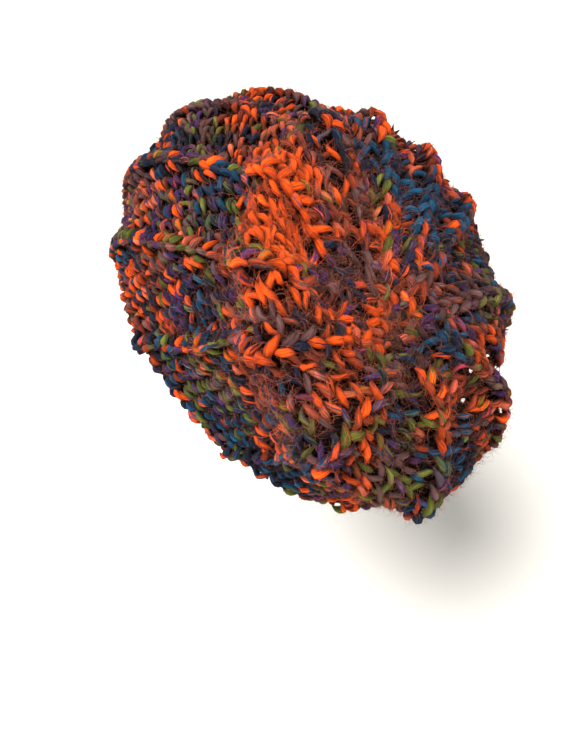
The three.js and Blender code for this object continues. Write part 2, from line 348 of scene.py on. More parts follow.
# Where the yarn's colours fall: a place in the upright hat, a reach and how much there is of each colour
ZONES = [
    ("top_edge", (-13, -94, 78), 9, "navy 4, taupe 4, teal 2, salmon 2"),
    ("top_speckled", (3, -74, 97), 12, "taupe 5, salmon 5, orange 1, olive 2, navy 2, purple 2"),
    ("upper_left", (27, -84, 82), 14, "olive 3, purple 3, taupe 4, salmon 3, navy 2, green 2"),
    ("left_corner", (41, -91, 63), 6, "teal 4, navy 3, orange 2, purple 1"),
    ("left_salmon_edge", (48, -90, 41), 9, "salmon 8, taupe 4, orange 2, olive 2"),
    ("left_upper", (52, -74, 69), 10, "orange 3, teal 3, purple 3, olive 2, navy 2, salmon 2"),
    ("green_navy", (49, -55, 93), 11, "navy 4, teal 3, green 3, olive 3, taupe 2, purple 2"),
    ("green_navy_low", (69, -33, 108), 9, "navy 3, green 3, olive 2, taupe 3, teal 2, orange 1"),
    ("ridge_teal", (43, -69, 85), 4, "teal 5, navy 3, taupe 2"),
    ("ridge_left", (65, -66, 46), 8, "orange 4, taupe 4, olive 2, teal 1, salmon 2"),
    ("ridge_middle", (68, -48, 79), 8, "orange 3, salmon 3, taupe 4, olive 2"),
    ("left_edge_low", (70, -55, 22), 10, "orange 6, salmon 2, navy 2, teal 1, olive 1"),
    ("left_middle", (74, -38, 58), 12, "purple 3, orange 3, navy 4, olive 2, teal 1"),
    ("left_inner", (73, -19, 85), 12, "orange 3, navy 4, purple 2, taupe 2, rust 2, olive 1"),
    ("lower_left", (80, -23, 31), 13, "teal 5, navy 6, olive 3, purple 2, orange 1"),
    ("lower_middle", (81, -6, 66), 11, "navy 4, teal 3, orange 3, olive 2, rust 1"),
    ("rust_navy", (88, 15, 101), 10, "navy 5, orange 4, rust 3, purple 1"),
    ("lower_band", (75, 27, 43), 13, "navy 7, teal 5, orange 2, olive 1"),
    ("lower_band_end", (92, 54, 89), 13, "navy 6, teal 5, orange 1, purple 1"),
    ("lower_tip", (43, 90, 9), 6, "orange 4, salmon 2, navy 2"),
    ("orange_upper", (40, -46, 128), 15, "orange 12, rust 2"),
    ("orange_middle", (53, -32, 122), 17, "orange 13, rust 2"),
    ("orange_edge", (47, -17, 118), 11, "orange 12, rust 2"),
    ("rust_upper", (11, -32, 128), 10, "rust 6, orange 2, taupe 4, navy 1, brown 2"),
    ("rust_middle", (21, -17, 125), 9, "orange 2, rust 6, taupe 4, brown 3"),
    ("blue_notch", (8, -52, 126), 6, "navy 4, teal 4, orange 2"),
    ("top_bump", (-20, -45, 121), 8, "salmon 4, orange 3, taupe 3, rust 2, teal 1"),
    ("teal_upper", (-18, -25, 123), 11, "teal 7, navy 5, orange 1"),
    ("teal_patch", (-22, -7, 120), 17, "teal 12, navy 6"),
    ("salmon_edge", (-39, -18, 115), 5, "salmon 6, orange 2, taupe 2"),
    ("right_dark_teal", (-16, 19, 120), 11, "navy 5, teal 6, olive 2, green 1"),
    ("orange_v", (4, -3, 124), 6, "orange 5, rust 3, navy 2, teal 1"),
    ("olive_v", (7, 9, 123), 8, "olive 5, purple 4, orange 3, navy 2"),
    ("right_muted", (-45, 39, 102), 15, "taupe 4, teal 3, purple 3, olive 3, navy 2"),
    ("right_bump", (-35, 60, 101), 8, "purple 4, teal 3, taupe 3, salmon 2, pink 1"),
    ("grey_hollow", (40, 0, 123), 15, "taupe 5, brown 6, purple 4, navy 4"),
    ("grey_hollow_low", (44, 15, 121), 9, "taupe 4, brown 6, purple 3, navy 4"),
    ("orange_ridge", (73, -13, 123), 11, "orange 22, rust 1"),
    ("orange_ridge_low", (70, 13, 123), 11, "orange 6, taupe 3, navy 3, rust 2, brown 1"),
    ("mixed_low", (86, 9, 120), 10, "orange 4, navy 4, taupe 3, purple 2, rust 2, brown 2"),
    ("dark_hollow", (34, 33, 114), 7, "brown 6, rust 3, orange 2, navy 2"),
    ("column_right", (17, 35, 119), 8, "orange 4, purple 3, teal 2, olive 3, rust 3, brown 2"),
    ("dark_right", (31, 49, 117), 8, "navy 5, orange 2, teal 2, brown 4, purple 3"),
    ("ridge_right", (5, 52, 116), 8, "purple 4, teal 3, salmon 3, navy 2, pink 1"),
    ("rust_right", (12, 73, 106), 12, "rust 8, salmon 3, pink 2, brown 4, olive 2"),
    ("orange_bottom", (78, 37, 114), 11, "orange 10, rust 3, salmon 2, olive 2, taupe 1, brown 1"),
    ("orange_olive", (74, 52, 115), 11, "orange 7, olive 5, rust 3, taupe 3, purple 2, salmon 1"),
    ("olive_right", (40, 75, 109), 12, "rust 4, salmon 3, olive 5, orange 3, brown 2"),
    ("purple_bottom", (88, 53, 107), 9, "purple 4, orange 2, navy 3, taupe 4, olive 2, brown 1"),
    ("olive_bottom", (67, 82, 94), 13, "olive 7, purple 3, taupe 6, salmon 3, orange 3"),
    ("teal_bottom", (31, 98, 89), 8, "teal 3, navy 4, olive 3, purple 1"),
    ("brim_edge_middle", (80, 10, 21), 9, BRIM_MIX),
    ("brim_edge_left", (80, -11, 11), 9, BRIM_MIX),
    ("brim_edge_right", (77, 38, 23), 9, BRIM_MIX),
    ("brim_edge_end", (62, 65, 10), 9, BRIM_MIX),
    ("brim_corner", (78, -36, 5), 6, BRIM_MIX),
    ("right_muted_upper", (-40, 27, 108), 9, "navy 5, teal 5, olive 3, taupe 2"),
    ("right_muted_lower", (-22, 48, 114), 10, "taupe 5, navy 3, purple 4, olive 3, teal 2"),
    ("left_muted", (50, -82, 59), 9, "taupe 4, purple 3, salmon 3, olive 3, navy 3, rust 2"),
    ("left_muted_low", (65, -71, 53), 8, "taupe 3, purple 3, olive 3, navy 4, orange 3, salmon 1"),
    ("right_speckled", (-9, 48, 116), 9, "purple 3, navy 4, taupe 4, olive 3, salmon 1, teal 2"),
    ("right_speckled_low", (13, 55, 118), 9, "navy 4, teal 3, salmon 3, olive 3, rust 3, pink 1"),
    ("edge_navy", (-44, 9, 113), 8, "navy 9, teal 8, taupe 3"),
    ("edge_teal", (-51, 28, 102), 8, "teal 6, navy 5, taupe 3, olive 2"),
]
# Stretches of yarn that show where no zone reaches: their length, how little they count and how they end
STRETCH_SIZE, STRETCH_WEIGHT, STRETCH_STEEPNESS = 60, 0.03, 4
STRETCHES = [
    "orange 6, rust 3, salmon 2, purple 1",
    "navy 5, teal 4, orange 2, olive 1",
    "olive 4, purple 3, taupe 3, salmon 2",
    "taupe 4, rust 3, orange 3, navy 2",
]
WOOL_NAMES = list(WOOL)
WOOL_COLOURS = np.array([WOOL[name] for name in WOOL_NAMES])
# How much more or less often a colour is mixed into a grain than it makes up a grain of its own
MIXED_IN = {"orange": 0.3, "salmon": 0.5, "brown": 2, "navy": 1.5}
MIXED_SHARES = np.array([MIXED_IN.get(name, 1) for name in WOOL_NAMES])
# How far and how finely the zones' edges wander, how steeply they end and how pure their colours are
DRIFT, DRIFT_SIZE = 3, 24
ZONE_STEEPNESS, ZONE_PURITY = 2.6, 1.35


def waves(points, size, seed, count=5):
    """A smooth seeded field between about -1 and 1, with features of the given size."""
    own = np.random.default_rng(seed)
    directions = unit(own.normal(size=(count, 3)))
    directions = directions * (2 * np.pi / size) * own.uniform(0.6, 1.4, (count, 1))
    phases = own.uniform(0, 2 * np.pi, count)
    return np.sin(points @ directions.T + phases).mean(1) * 1.6


def mixture(parts):
    """The share of each wool colour, from a text such as "orange 3, teal 1"."""
    row = np.zeros(len(WOOL_NAMES))
    for part in parts.split(", "):
        name, amount = part.split()
        row[WOOL_NAMES.index(name)] = float(amount)
    return row / row.sum()


def yarn_shares(points):
    """How much there is of each wool colour at each place, from the zones near it."""
    fields = np.stack([waves(points, STRETCH_SIZE, 40 + k) for k in range(len(STRETCHES))], 1)
    shares = np.exp(STRETCH_STEEPNESS * fields)
    shares /= shares.sum(1, keepdims=True)
    weights = shares @ np.stack([mixture(s) for s in STRETCHES]) * STRETCH_WEIGHT
    drift = np.stack([waves(points, DRIFT_SIZE, 60 + k) for k in range(3)], 1) * DRIFT
    for _, centre, reach, parts in ZONES:
        distance = np.linalg.norm(points + drift - np.array(centre), axis=1)
        weights = weights + np.exp(-(distance / reach) ** 2 * ZONE_STEEPNESS)[:, None] * mixture(parts)
    weights /= weights.sum(1, keepdims=True)
    weights = weights ** ZONE_PURITY
    return weights / weights.sum(1, keepdims=True)


def yarn_colours(points):
    """A colour for each grain, and that of the fibres mixed into it."""
    weights = yarn_shares(points)
    # Next to its main colour each grain has fibres of another, more often a dark one
    others = weights * MIXED_SHARES
    others /= others.sum(1, keepdims=True)
    picks = [(w.cumsum(1) > random.random((len(points), 1))).argmax(1) for w in (weights, others)]
    shade = np.exp(random.normal(0, 0.25, (len(points), 1)))
    return [WOOL_COLOURS[pick] * shade for pick in picks]


def panel_places(surface, panel, turn, width, pitch, edge, jitter=0.12):
    """Stitch places in one panel between two ridges.

    The stitches stand in columns, width apart, that run at the angle turn from the way round the hat, with a
    stitch every pitch, out to edge from the ridges. Returns positions, shares, directions and which leg of
    its stitch each grain is.
    """
    lines = 9
    shares = np.linspace(0, 1, 33)
    grid = np.meshgrid(panel + np.linspace(0, 1, lines), shares, indexing="ij")
    grid = surface(*(g.ravel() for g in grid)).reshape(lines, len(shares), 3)
    up = np.linalg.norm(np.diff(grid, axis=1), axis=2).cumsum(1)
    up = np.concatenate([np.zeros((lines, 1)), up], 1)
    across = np.linalg.norm(np.diff(grid, axis=0), axis=2).sum(0)
    middle = up[lines // 2]
    reach = max(across.max(), up.max()) / 2 + 2 * pitch
    rows = np.arange(-int(reach / width) - 1, int(reach / width) + 2)
    steps = np.arange(-int(reach / pitch) - 1, int(reach / pitch) + 2)
    row, step = (g.ravel() for g in np.meshgrid(rows, steps, indexing="ij"))
    shift = random.random(len(rows))[row - rows[0]] * 0.25
    along = (step + shift + jitter * random.normal(size=len(row))) * pitch
    aside = (row + jitter * random.normal(size=len(row))) * width
    turns = turn + 0.16 * np.sin(along / 17 + panel) + 0.1 * np.sin(aside / 11 + 2 * panel)
    a = along * math.cos(turn) - aside * math.sin(turn)
    v = up.max() / 2 + along * math.sin(turn) + aside * math.cos(turn)
    wide = np.interp(v, middle, across)
    t = 0.5 + a / np.maximum(wide, 1e-6)
    inside = (np.abs(a) < wide / 2 - edge) & (v > 0)
    t, v, turns, row = t[inside], v[inside], turns[inside], row[inside]
    at = np.clip(t * (lines - 1), 0, lines - 1.001)
    k = at.astype(int)
    share_rows = np.stack([np.interp(v, up[j], shares, right=2.0) for j in range(lines)])
    share = blend(share_rows[k, np.arange(len(t))], share_rows[k + 1, np.arange(len(t))], at - k)
    keep = share < 1 - 1e-4
    return panel + t[keep], share[keep], turns[keep], row[keep] % 2


# What grains leave free round a loose stitch, within this many mm of its place and further off
NEAR_HOLE, NEAR_CLEARANCE, FAR_CLEARANCE = 12, 0.9, 0.4
# How finely slopes are measured for the grains, and the least mm per panel and per height taken for them
GRAIN_STEP = 2e-3
LEAST_RUN, LEAST_RISE = 4, 20
# How far a grain's ends may bend down or up, and a hidden one's bend, as shares of its length
DEEPEST_DROP, HIGHEST_RISE, SHARP_BEND = -0.6, 0.25, -0.3
# Painted shade on each grain: how dark its sides are, and how much darker its ends are than its middle
PAINTED_SIDE_SHADE, PAINTED_END_SHADE = 0.2, 0.5


def clear_of_holes(centres, directions, length):
    """Which grains leave the loose stitches open."""
    clear = np.ones(len(centres), bool)
    for place, radius in LOOSE_STITCHES:
        line = unit(FACING - np.array(place, float))
        for step in np.linspace(-0.36, 0.36, 5):
            offset = centres + directions * length * step - np.array(place, float)
            ahead = offset @ line
            distance = np.linalg.norm(offset - ahead[:, None] * line, axis=1)
            clearance = np.where(np.abs(ahead) < NEAR_HOLE, NEAR_CLEARANCE, FAR_CLEARANCE)
            clear &= distance > radius + clearance
    return clear


def slopes(surface, position, share):
    """How the surface moves round the hat and up it, over a small step to both sides of each place."""
    share = np.clip(share, GRAIN_STEP, 1 - GRAIN_STEP)
    around = surface(position + GRAIN_STEP, share) - surface(position - GRAIN_STEP, share)
    return around, surface(position, share + GRAIN_STEP) - surface(position, share - GRAIN_STEP)


def tangents(surface, position, share):
    """The way round the hat and the way up it at each place, and the direction outwards."""
    around, up = (unit(way) for way in slopes(surface, position, share))
    normal = unit(np.cross(around, up))
    return around, unit(np.cross(normal, around)), normal


def end_drops(surface, position, share, direction, length):
    """How far the surface under each end of a grain lies above the plane that touches its middle."""
    around, up, normal = tangents(surface, position, share)
    share = np.clip(share, GRAIN_STEP, 1 - GRAIN_STEP)
    middle = surface(position, share)
    run, rise = (way / (2 * GRAIN_STEP) for way in slopes(surface, position, share))
    share_move = (direction * up).sum(1) * length / 2 / np.maximum((rise * up).sum(1), LEAST_RISE)
    aside = (direction * around).sum(1) * length / 2 - share_move * (rise * around).sum(1)
    move = np.clip(aside / np.maximum(np.linalg.norm(run, axis=1), LEAST_RUN), -0.5, 0.5)
    ends = [surface(position + way * move, np.clip(share + way * share_move, 0, 1)) for way in (-1, 1)]
    heights = [((end - middle) * normal).sum(1) for end in ends]
    return [np.clip(height, DEEPEST_DROP * length, HIGHEST_RISE * length) for height in heights]


def clear_selection():
    if bpy.context.object and bpy.context.object.mode != "OBJECT":
        bpy.ops.object.mode_set(mode="OBJECT")
    bpy.ops.object.select_all(action="DESELECT")


def select(piece):
    clear_selection()
    piece.select_set(True)
    bpy.context.view_layer.objects.active = piece


def yarn_grain():
    """One leg of a stitch, modelled along X with its middle bowed outwards, as corner lists to be copied."""
    clear_selection()
    bpy.ops.mesh.primitive_uv_sphere_add(
        segments=6, ring_count=7, radius=1, rotation=(0, math.radians(90), 0))
    bpy.ops.object.transform_apply(location=False, rotation=True, scale=False)
    grain = bpy.context.object
    mesh = grain.data
    corners = np.array([v.co for v in mesh.vertices])
    loops = np.array([tuple(d.uv) for d in mesh.uv_layers.active.data])
    faces = [tuple(p.vertices) for p in mesh.polygons]
    bpy.data.objects.remove(grain)
    bpy.data.meshes.remove(mesh)
    x = corners[:, 0]
    full = np.sqrt(np.maximum(1 - x * x, 1e-9))
    plump = (1 - np.abs(x) ** 1.9) ** 0.85 / full
    corners[:, 1:] *= np.where(full > 1e-3, plump, 1)[:, None]
    return corners, faces, loops


GRAIN = yarn_grain()


def grain_mesh(centres, directions, normals, drops, size, dive, colours, bend=0.12):
    """Copies of the grain as one joined mesh's arrays.

    size is the length, width and thickness. Each grain bends by its drops, so that its ends follow the
    surface, and by dive more, so that they lie hidden under the next grains. It curves sideways by bend.
    """
    corners, faces, loops = GRAIN
    count, n = len(centres), len(corners)
    sides = np.cross(normals, directions)
    length, width, thick = (size * np.exp(random.normal(0, 0.1, (count, 3)))).T[..., None]
    x, y, z = (corners[None, :, k] for k in range(3))
    curve = random.normal(0, bend, (count, 1)) * (x * x - 0.4)
    sway = random.normal(0, bend, (count, 1)) * np.sin(np.pi * x)
    along = x * length / 2
    aside = y * width / 2 + (curve + sway) * size[1]
    out = z * thick / 2 - dive * np.abs(x) ** 2.2 + 0.25 * dive
    out = out + np.where(x < 0, drops[0][:, None], drops[1][:, None]) * x * x
    points = (centres[:, None] + directions[:, None] * along[..., None]
              + sides[:, None] * aside[..., None] + normals[:, None] * out[..., None])
    offsets = (np.arange(count) * n)[:, None]
    sizes = np.tile([len(f) for f in faces], count)
    index = (np.array([i for f in faces for i in f])[None] + offsets).ravel()
    uv = np.tile(loops, (count, 1))
    uv[:, 1] += np.repeat(random.random(count) * 50, len(loops))
    marks = random.random((2, count, 1))
    first, second = (np.repeat(np.concatenate([c, m], 1), n, 0) for c, m in zip(colours, marks))
    # The sides and ends of each grain are darker than its top: painted shade where little light reaches
    # between the grains, and partly the dark fuzz that lies deepest there
    top = PAINTED_SIDE_SHADE + (1 - PAINTED_SIDE_SHADE) * smoothstep(corners[:, 2], -0.3, 1.0)
    top = top * (1 - PAINTED_END_SHADE * np.abs(corners[:, 0]) ** 3)
    for colour in (first, second):
        colour[:, :3] *= np.tile(top, count)[:, None]
    return points.reshape(-1, 3), index, sizes, uv, first, second


def shell_mesh(surface, inner, rows, lift, closed_top):
    """The lining under the grains: a thin wall that follows the piece's outside and inside."""
    places = np.arange(0, RIDGE_COUNT, 0.125)
    rings = [surface(places, np.full_like(places, s), -lift) for s in np.linspace(0, 1, rows)]
    rings += [inner(places, np.full_like(places, s)) for s in np.linspace(1, 0, rows)]
    points = np.concatenate(rings)
    n, count = len(places), len(rings)
    j = np.arange(n)
    faces = []
    for k in range(count):
        low, high = k * n, (k + 1) % count * n
        faces.append(np.stack([low + j, low + (j + 1) % n, high + (j + 1) % n, high + j], 1))
    if closed_top:
        faces.pop(rows - 1)
    faces = np.concatenate(faces)
    uv = np.stack([faces % n / 8, faces // n / 4], -1).reshape(-1, 2)
    return points, faces.ravel(), np.full(len(faces), 4), uv


def make_object(name, points, index, sizes, uv, first, second, material, slot, *nodes):
    mesh = bpy.data.meshes.new(name)
    mesh.vertices.add(len(points))
    mesh.vertices.foreach_set("co", to_world(points).astype(np.float32).ravel())
    mesh.loops.add(len(index))
    mesh.loops.foreach_set("vertex_index", index.astype(np.int32))
    mesh.polygons.add(len(sizes))
    starts = np.concatenate([[0], np.cumsum(sizes)[:-1]])
    mesh.polygons.foreach_set("loop_start", starts.astype(np.int32))
    mesh.update(calc_edges=True)
    mesh.uv_layers.new(name="UVMap").data.foreach_set("uv", uv.astype(np.float32).ravel())
    for attribute, colour in (("wool", first), ("ply", second)):
        data = mesh.attributes.new(attribute, "FLOAT_COLOR", "POINT").data
        data.foreach_set("color", colour.astype(np.float32).ravel())
    mesh.polygons.foreach_set("use_smooth", np.ones(len(sizes), bool))
    mesh.materials.append(material)
    made = bpy.data.objects.new(name, mesh)
    bpy.context.collection.objects.link(made)
    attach(made, "root")
    if nodes:
        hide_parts(*nodes)
    return made


# Materials
class Val:
    """A socket that takes part in sums, so that shader maths reads as maths."""

    def __init__(self, mat, socket):
        self.mat, self.socket = mat, socket

    def __add__(self, other):
        return self.mat.math("ADD", self, other)

    __radd__ = __add__

    def __sub__(self, other):
        return self.mat.math("SUBTRACT", self, other)

    def __rsub__(self, other):
        return self.mat.math("SUBTRACT", other, self)

    def __mul__(self, other):
        return self.mat.math("MULTIPLY", self, other)

    __rmul__ = __mul__


class Mat:
    """A material's node tree."""

    def __init__(self, name):
        self.material = bpy.data.materials.new(name)
        self.material.use_nodes = True
        self.tree = self.material.node_tree
        self.tree.nodes.clear()

    def node(self, kind, settings=None, inputs=None, output=0):
        """Adds a node, sets it up and then gives its sockets their values or links."""
        made = self.tree.nodes.new(kind)
        for key, value in (settings or {}).items():
            setattr(made, key, value)
        for key, value in (inputs or {}).items():
            if isinstance(value, Val):
                self.tree.links.new(value.socket, made.inputs[key])
            else:
                made.inputs[key].default_value = value
        return Val(self, made.outputs[output]) if made.outputs else None

    def math(self, operation, *values):
        return self.node("ShaderNodeMath", {"operation": operation}, dict(enumerate(values)))

    def attribute(self, name, output):
        return self.node("ShaderNodeAttribute", {"attribute_name": name}, output=output)

    def mix(self, share, first, second):
        return self.node("ShaderNodeMix", {"data_type": "RGBA"}, {0: share, 6: first, 7: second}, output=2)

    def noise(self, place, scale, detail, roughness=0.5):
        return self.node("ShaderNodeTexNoise", None, {
            "Vector": place, "Scale": scale, "Detail": detail, "Roughness": roughness})

    def scale(self, colour, by):
        return self.node("ShaderNodeVectorMath", {"operation": "SCALE"}, {0: colour, "Scale": by})

    def stretch(self, value, low, high, to_low, to_high):
        return self.node("ShaderNodeMapRange", None, {
            "Value": value, "From Min": low, "From Max": high, "To Min": to_low, "To Max": to_high})

    def bump(self, height, distance):
        return self.node("ShaderNodeBump", None, {"Height": height, "Strength": 1.0, "Distance": distance})

    def finish(self, inputs):
        """Gives the material its surface and hands it over."""
        shader = self.node("ShaderNodeBsdfPrincipled", None, inputs)
        self.node("ShaderNodeOutputMaterial", None, {"Surface": shader})
        return self.material


def wool_material(name, shade_swing, bump_size, fuzz):
    """Yarn whose fibres run along it with a slight twist, in two colours that lie side by side."""
    mat = Mat(name)
    wool, mark = mat.attribute("wool", "Color"), mat.attribute("wool", "Alpha")
    ply, ply_share = mat.attribute("ply", "Color"), mat.attribute("ply", "Alpha")
    uv = mat.node("ShaderNodeUVMap", {"uv_map": "UVMap"})
    u = mat.node("ShaderNodeSeparateXYZ", None, {0: uv}, output="X")
    v = mat.node("ShaderNodeSeparateXYZ", None, {0: uv}, output="Y")
    turn = u * math.tau + v * 2.6
    round_x, round_y = mat.math("COSINE", turn), mat.math("SINE", turn)

    def fibres_of(fineness, along, detail):
        place = mat.node("ShaderNodeCombineXYZ", None, {
            "X": round_x * fineness, "Y": round_y * fineness, "Z": v * along + mark * 60})
        return mat.noise(place, 1.0, detail, 0.7)

    fibre, streak = fibres_of(2.8, 1.6, 4.0), fibres_of(1.5, 1.3, 3.0)
    swing = mat.stretch(fibre, 0.32, 0.7, 1 - shade_swing, 1 + shade_swing)
    # The second colour takes less of one grain and more of the next
    second = mat.stretch(streak + ply_share * 0.24 - 0.12, 0.47, 0.58, 0.0, 1.0)
    colour = mat.mix(second, wool, ply)
    stray = mat.stretch(fibres_of(3.4, 2.0, 3.0), 0.6, 0.68, 0.0, 0.55)
    colour = mat.mix(stray, colour, (0.03, 0.013, 0.011, 1))
    return mat.finish({
        "Base Color": mat.scale(colour, swing), "Roughness": 0.85, "Specular IOR Level": 0.04,
        "Normal": mat.bump(fibre + streak * 0.6, bump_size),
        "Sheen Weight": fuzz, "Sheen Roughness": 0.6, "Sheen Tint": (1, 0.85, 0.75, 1)})


def lining_material(name):
    mat = Mat(name)
    colour = mat.attribute("wool", "Color")
    place = mat.node("ShaderNodeTexCoord", output="Object")
    knots = mat.node("ShaderNodeTexVoronoi", {"feature": "F1"}, {"Vector": place, "Scale": 230.0})
    soft, patches = mat.noise(place, 900.0, 3.0), mat.noise(place, 240.0, 3.0)
    return mat.finish({
        "Base Color": mat.scale(colour, patches + 0.3), "Roughness": 0.95, "Specular IOR Level": 0.0,
        "Normal": mat.bump(soft - knots * 1.6, 0.002)})


yarn = wool_material("thick_yarn", shade_swing=0.65, bump_size=0.002, fuzz=0.03)
lining = lining_material("lining_with_painted_shade")


def join(parts):
    """Joins mesh arrays into one set."""
    starts = np.cumsum([0] + [len(p[0]) for p in parts[:-1]])
    points = np.concatenate([p[0] for p in parts])
    index = np.concatenate([p[1] + s for p, s in zip(parts, starts)])
    return (points, index, *(np.concatenate([p[k] for p in parts]) for k in range(2, len(parts[0]))))


def legs(surface, position, share, turns, leg, slant, size, dive, lift, shade=1.0, bend=0.12):
    """The grains of a panel's stitches, whose two legs slant either way. Their middles lie lift off it."""
    around, up, normal = tangents(surface, position, share)
    way = turns + np.where(leg == 0, slant, -slant) + random.normal(0, 0.12, len(turns))
    direction = around * np.cos(way)[:, None] + up * np.sin(way)[:, None]
    normal = unit(normal + random.normal(0, 0.08, normal.shape))
    direction = unit(direction - normal * (direction * normal).sum(1, keepdims=True))
    centres = surface(position, share) + normal * (lift + random.normal(0, 0.35, (len(position), 1)))
    drops = end_drops(surface, position, share, direction, size[0])
    clear = clear_of_holes(centres, direction, size[0])
    if lift < 0:
        # Hidden grains that would have to bend sharply round a fold are left out
        clear &= np.minimum(*drops) > SHARP_BEND * size[0]
    centres, direction, normal = centres[clear], direction[clear], normal[clear]
    drops = [d[clear] for d in drops]
    # Hidden grains get a shade far below one, painted shade that darkens their colour nearly to black
    colours = [c * shade for c in yarn_colours(centres)]
    return grain_mesh(centres, direction, normal, drops, size, dive, colours, bend)


# The way the columns run in each of the body's panels, in degrees from the way round
BODY_RUNS = [-15, -20, 60, 30, 15, 40, 70, 60, 30, 22, 12]
# The hidden stitches under them run across, and their colour is darkened nearly to black as painted shade
UNDER_TURN, UNDER_PAINTED_SHADE = 69, 0.08


def band_stitches(panel):
    place = panel_places(band_surface, panel, math.radians(14), 3.8, 7.2, edge=2.2)
    return legs(band_surface, *place, math.radians(13), (10.4, 3.0, 3.3), 2.6, 1.4, bend=0.2)


def band_under_stitches(panel):
    place = panel_places(band_surface, panel, math.radians(77), 5.2, 8.0, edge=0.5, jitter=0.3)
    return legs(band_surface, *place, math.radians(30), (10.0, 3.0, 2.6), 1.2, -1.2, UNDER_PAINTED_SHADE)


def body_stitches(panel):
    turn = math.radians(BODY_RUNS[panel])
    place = panel_places(body_surface, panel, turn, 4.0, 7.8, edge=2.4, jitter=0.13)
    return legs(body_surface, *place, math.radians(20), (11.8, 3.2, 3.6), 2.8, 1.6, bend=0.24)


def body_under_stitches(panel):
    turn = math.radians(BODY_RUNS[panel] + UNDER_TURN)
    place = panel_places(body_surface, panel, turn, 6.0, 9.0, edge=0.5, jitter=0.3)
    return legs(body_surface, *place, math.radians(35), (12, 3.2, 2.8), 1.4, -1.2, UNDER_PAINTED_SHADE)


def all_panels(stitches):
    return join([stitches(panel) for panel in range(RIDGE_COUNT)])


def ridge_stitches(surface, pitch, offset, slant, size, dive, lift, low, high):
    """The chain along each ridge from share low to high: two rows of grains that slant towards its top."""
    parts = []
    for ridge in range(RIDGE_COUNT):
        shares = np.linspace(low, high, 60)
        line = surface(np.full_like(shares, ridge), shares)
        run = np.concatenate([[0], np.linalg.norm(np.diff(line, axis=0), axis=1).cumsum()])
        stations = np.arange(pitch * 0.4, run[-1], pitch)
        for leg in (0, 1):
            at = stations + leg * pitch * 0.5 + random.normal(0, 0.1 * pitch, len(stations))
            share = np.interp(at, run, shares)
            position = np.full_like(share, float(ridge))
            around, up, normal = tangents(surface, position, share)
            way = math.radians(90) + (slant if leg else -slant) + random.normal(0, 0.12, len(share))
            direction = around * np.cos(way)[:, None] + up * np.sin(way)[:, None]
            centres = surface(position, share) + around * (offset if leg == 0 else -offset) + normal * lift
            drops = end_drops(surface, position, share, direction, size[0])
            parts.append(grain_mesh(centres, direction, normal, drops, size, dive, yarn_colours(centres)))
    return join(parts)


def brim_loops():
    """The row of small loops at the knitted edge."""
    position = np.arange(0, RIDGE_COUNT, 0.075)
    position = position + random.normal(0, 0.01, len(position))
    share = np.full_like(position, 0.004)
    around, up, normal = tangents(band_surface, position, share)
    centres = band_surface(position, share) - normal * 2.6 - up * 0.2
    way = random.normal(0, 0.3, (len(position), 1))
    direction = unit(normal * np.cos(way) + around * np.sin(way))
    level = [np.zeros(len(position))] * 2
    return grain_mesh(centres, direction, -up, level, (9.0, 4.6, 4.4), 1.6, yarn_colours(centres))


# The place that loose fibres point away from, and the colour of many mixed together
HAT_MIDDLE = np.array([5.0, 12.0, 55.0])
HAZE_COLOUR = np.array([0.3, 0.085, 0.045])


def fibres(grains, count, length, longest, curl, stand, thickness, along, haze):
    """Thin curled strips that leave the grains, either astray or along the yarn.

    curl is in radians, stand is how steeply a strip rises, along is how closely it keeps to its grain's
    direction, and haze is how much of the brown of mixed fibres its colour has.
    """
    points, _, _, _, colour, ply = grains
    ends = [GRAIN[0][:, 0].argmin(), GRAIN[0][:, 0].argmax()]
    # Only from the side of a grain that faces outwards
    outer = np.flatnonzero(GRAIN[0][:, 2] > 0.1)
    first = random.integers(0, len(points) // len(GRAIN[0]), count) * len(GRAIN[0])
    pick = first + random.choice(outer, count)
    grain_way = unit(points[first + ends[1]] - points[first + ends[0]]) * random.choice([-1, 1], (count, 1))
    outwards = unit(points[pick] - HAT_MIDDLE)
    way = blend(unit(random.normal(size=(count, 3))), grain_way, along)
    way = unit(way - outwards * (way * outwards).sum(1, keepdims=True) * 0.8)
    aside = np.cross(way, outwards)
    length = np.minimum(random.gamma(3.0, length / 3, count), longest)[:, None]
    curl = random.normal(0, curl, (count, 1))
    stand = stand * random.uniform(0.1, 2.4, (count, 1))
    thickness = thickness / 2 * random.uniform(0.7, 1.4, (count, 1))
    middle = points[pick] + outwards * 0.4 - way * length * along * 0.5
    rows = []
    steps = np.linspace(0, 1, 5)
    for s, before in zip(steps, np.concatenate([[0], steps[:-1]])):
        turn = curl * s
        heading = way * np.cos(turn) + aside * np.sin(turn) + outwards * stand * (2.4 - 3.4 * s)
        middle = middle + unit(heading) * length * (s - before)
        half = thickness * (1 - 0.7 * s)
        side = unit(np.cross(heading, outwards + 0.3 * aside))
        rows += [middle - side * half, middle + side * half]
    stack = np.stack(rows, 1)
    n = len(rows)
    quads = np.array([(k, k + 1, k + 3, k + 2) for k in range(0, n - 2, 2)])
    faces = (quads[None] + (np.arange(count) * n)[:, None, None]).reshape(-1, 4)
    top = first + GRAIN[0][:, 2].argmax()
    own = np.where(random.random((count, 1)) < 0.5, colour[top, :3], ply[top, :3])
    tint = blend(own, HAZE_COLOUR, haze * random.uniform(0.3, 1.4, (count, 1)))
    tint = tint * random.uniform(0.4, 1.4, (count, 1))
    tint = np.repeat(np.concatenate([tint, random.random((count, 1))], 1), n, 0)
    uv = np.tile([(0, 0), (1, 0), (1, 1), (0, 1)], (len(faces), 1))
    return stack.reshape(-1, 3), faces.ravel(), np.full(len(faces), 4), uv, tint, tint


def fibre_material(name):
    mat = Mat(name)
    wool = mat.attribute("wool", "Color")
    return mat.finish({
        "Base Color": wool, "Roughness": 0.7, "Specular IOR Level": 0.1, "Sheen Weight": 0.05})


def corner_places(piece):
    places = np.empty(len(piece.data.vertices) * 3, np.float32)
    piece.data.vertices.foreach_get("co", places)
    return places.reshape(-1, 3)


